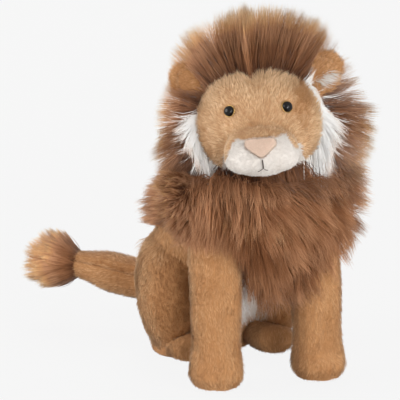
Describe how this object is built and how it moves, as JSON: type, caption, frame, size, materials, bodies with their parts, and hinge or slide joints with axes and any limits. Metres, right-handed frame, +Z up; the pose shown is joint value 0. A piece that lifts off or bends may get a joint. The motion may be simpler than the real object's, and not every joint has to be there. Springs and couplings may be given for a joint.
{
  "type": "plush lion",
  "caption": "Seated plush lion with a long mane, a head that turns on its neck seam, folding ears, domed eyes and a swinging tufted tail.",
  "frame": {"origin": "on the floor under the middle of the seat, on the trunk's middle plane", "axes": "+Z up, -Y the way the chest faces, +X to the lion's left"},
  "size_m": [0.2079, 0.3237, 0.2955],
  "materials": {
    "tan_plush": "short brushed plush pile, matt with a soft sheen",
    "white_plush": "short white plush pile, matt",
    "white_pile": "long white faux fur",
    "brown_pile": "long brown faux fur with dark roots and lighter tips",
    "nose_cloth": "velour, very short nap",
    "ear_cloth": "short plush lining",
    "eye_gloss": "polished black dome with a thin gold rim",
    "washer_nylon": "natural nylon",
    "pellet_cloth": "plain woven inner bag"
  },
  "bodies": {
    "trunk": {"torso": "tan_plush", "seat_panel": "tan_plush", "pellet_bag": "pellet_cloth", "belly_panel": "white_plush", "foreleg_left": "tan_plush", "foreleg_right": "tan_plush", "haunch_left": "tan_plush", "haunch_right": "tan_plush", "hind_foot_left": "tan_plush", "hind_foot_right": "tan_plush", "mane_bib": "brown_pile", "mane_shoulder_left": "brown_pile", "mane_shoulder_right": "brown_pile", "mane_cape": "brown_pile"},
    "head": {"head": "tan_plush", "snout": "tan_plush", "muzzle": "white_plush", "nose": "nose_cloth", "eye_left": "eye_gloss", "eye_right": "eye_gloss", "eye_washer_left": "washer_nylon", "eye_washer_right": "washer_nylon", "mane_crown": "brown_pile", "mane_nape": "brown_pile", "mane_side_left": "brown_pile", "mane_side_right": "brown_pile", "ruff_left": "white_pile", "ruff_right": "white_pile"},
    "ear_left": {"ear_left": "tan_plush", "ear_lining_left": "ear_cloth"},
    "ear_right": {"ear_right": "tan_plush", "ear_lining_right": "ear_cloth"},
    "tail": {"tail": "tan_plush", "tail_tuft": "brown_pile"}
  },
  "joints": [
    {"name": "head_turn", "type": "hinge", "parent": "trunk", "child": "head", "pos_m": [0, -0.095, 0.165], "axis": [0, 0, 1], "range_deg": [-20, 20], "stiffness_Nm_per_rad": 0.08},
    {"name": "tail_swing", "type": "hinge", "parent": "trunk", "child": "tail", "pos_m": [-0.012, 0.04737, 0.038], "axis": [0, 0, 1], "range_deg": [-25, 25], "stiffness_Nm_per_rad": 0.03},
    {"name": "ear_left_fold", "type": "hinge", "parent": "head", "child": "ear_left", "pos_m": [0.03762, -0.10846, 0.23508], "axis": [0.6207, -0.232, -0.749], "range_deg": [-20, 20], "stiffness_Nm_per_rad": 0.02},
    {"name": "ear_right_fold", "type": "hinge", "parent": "head", "child": "ear_right", "pos_m": [-0.03501, -0.0813, 0.22898], "axis": [0.5033, -0.1882, 0.8434], "range_deg": [-20, 20], "stiffness_Nm_per_rad": 0.02}
  ]
}
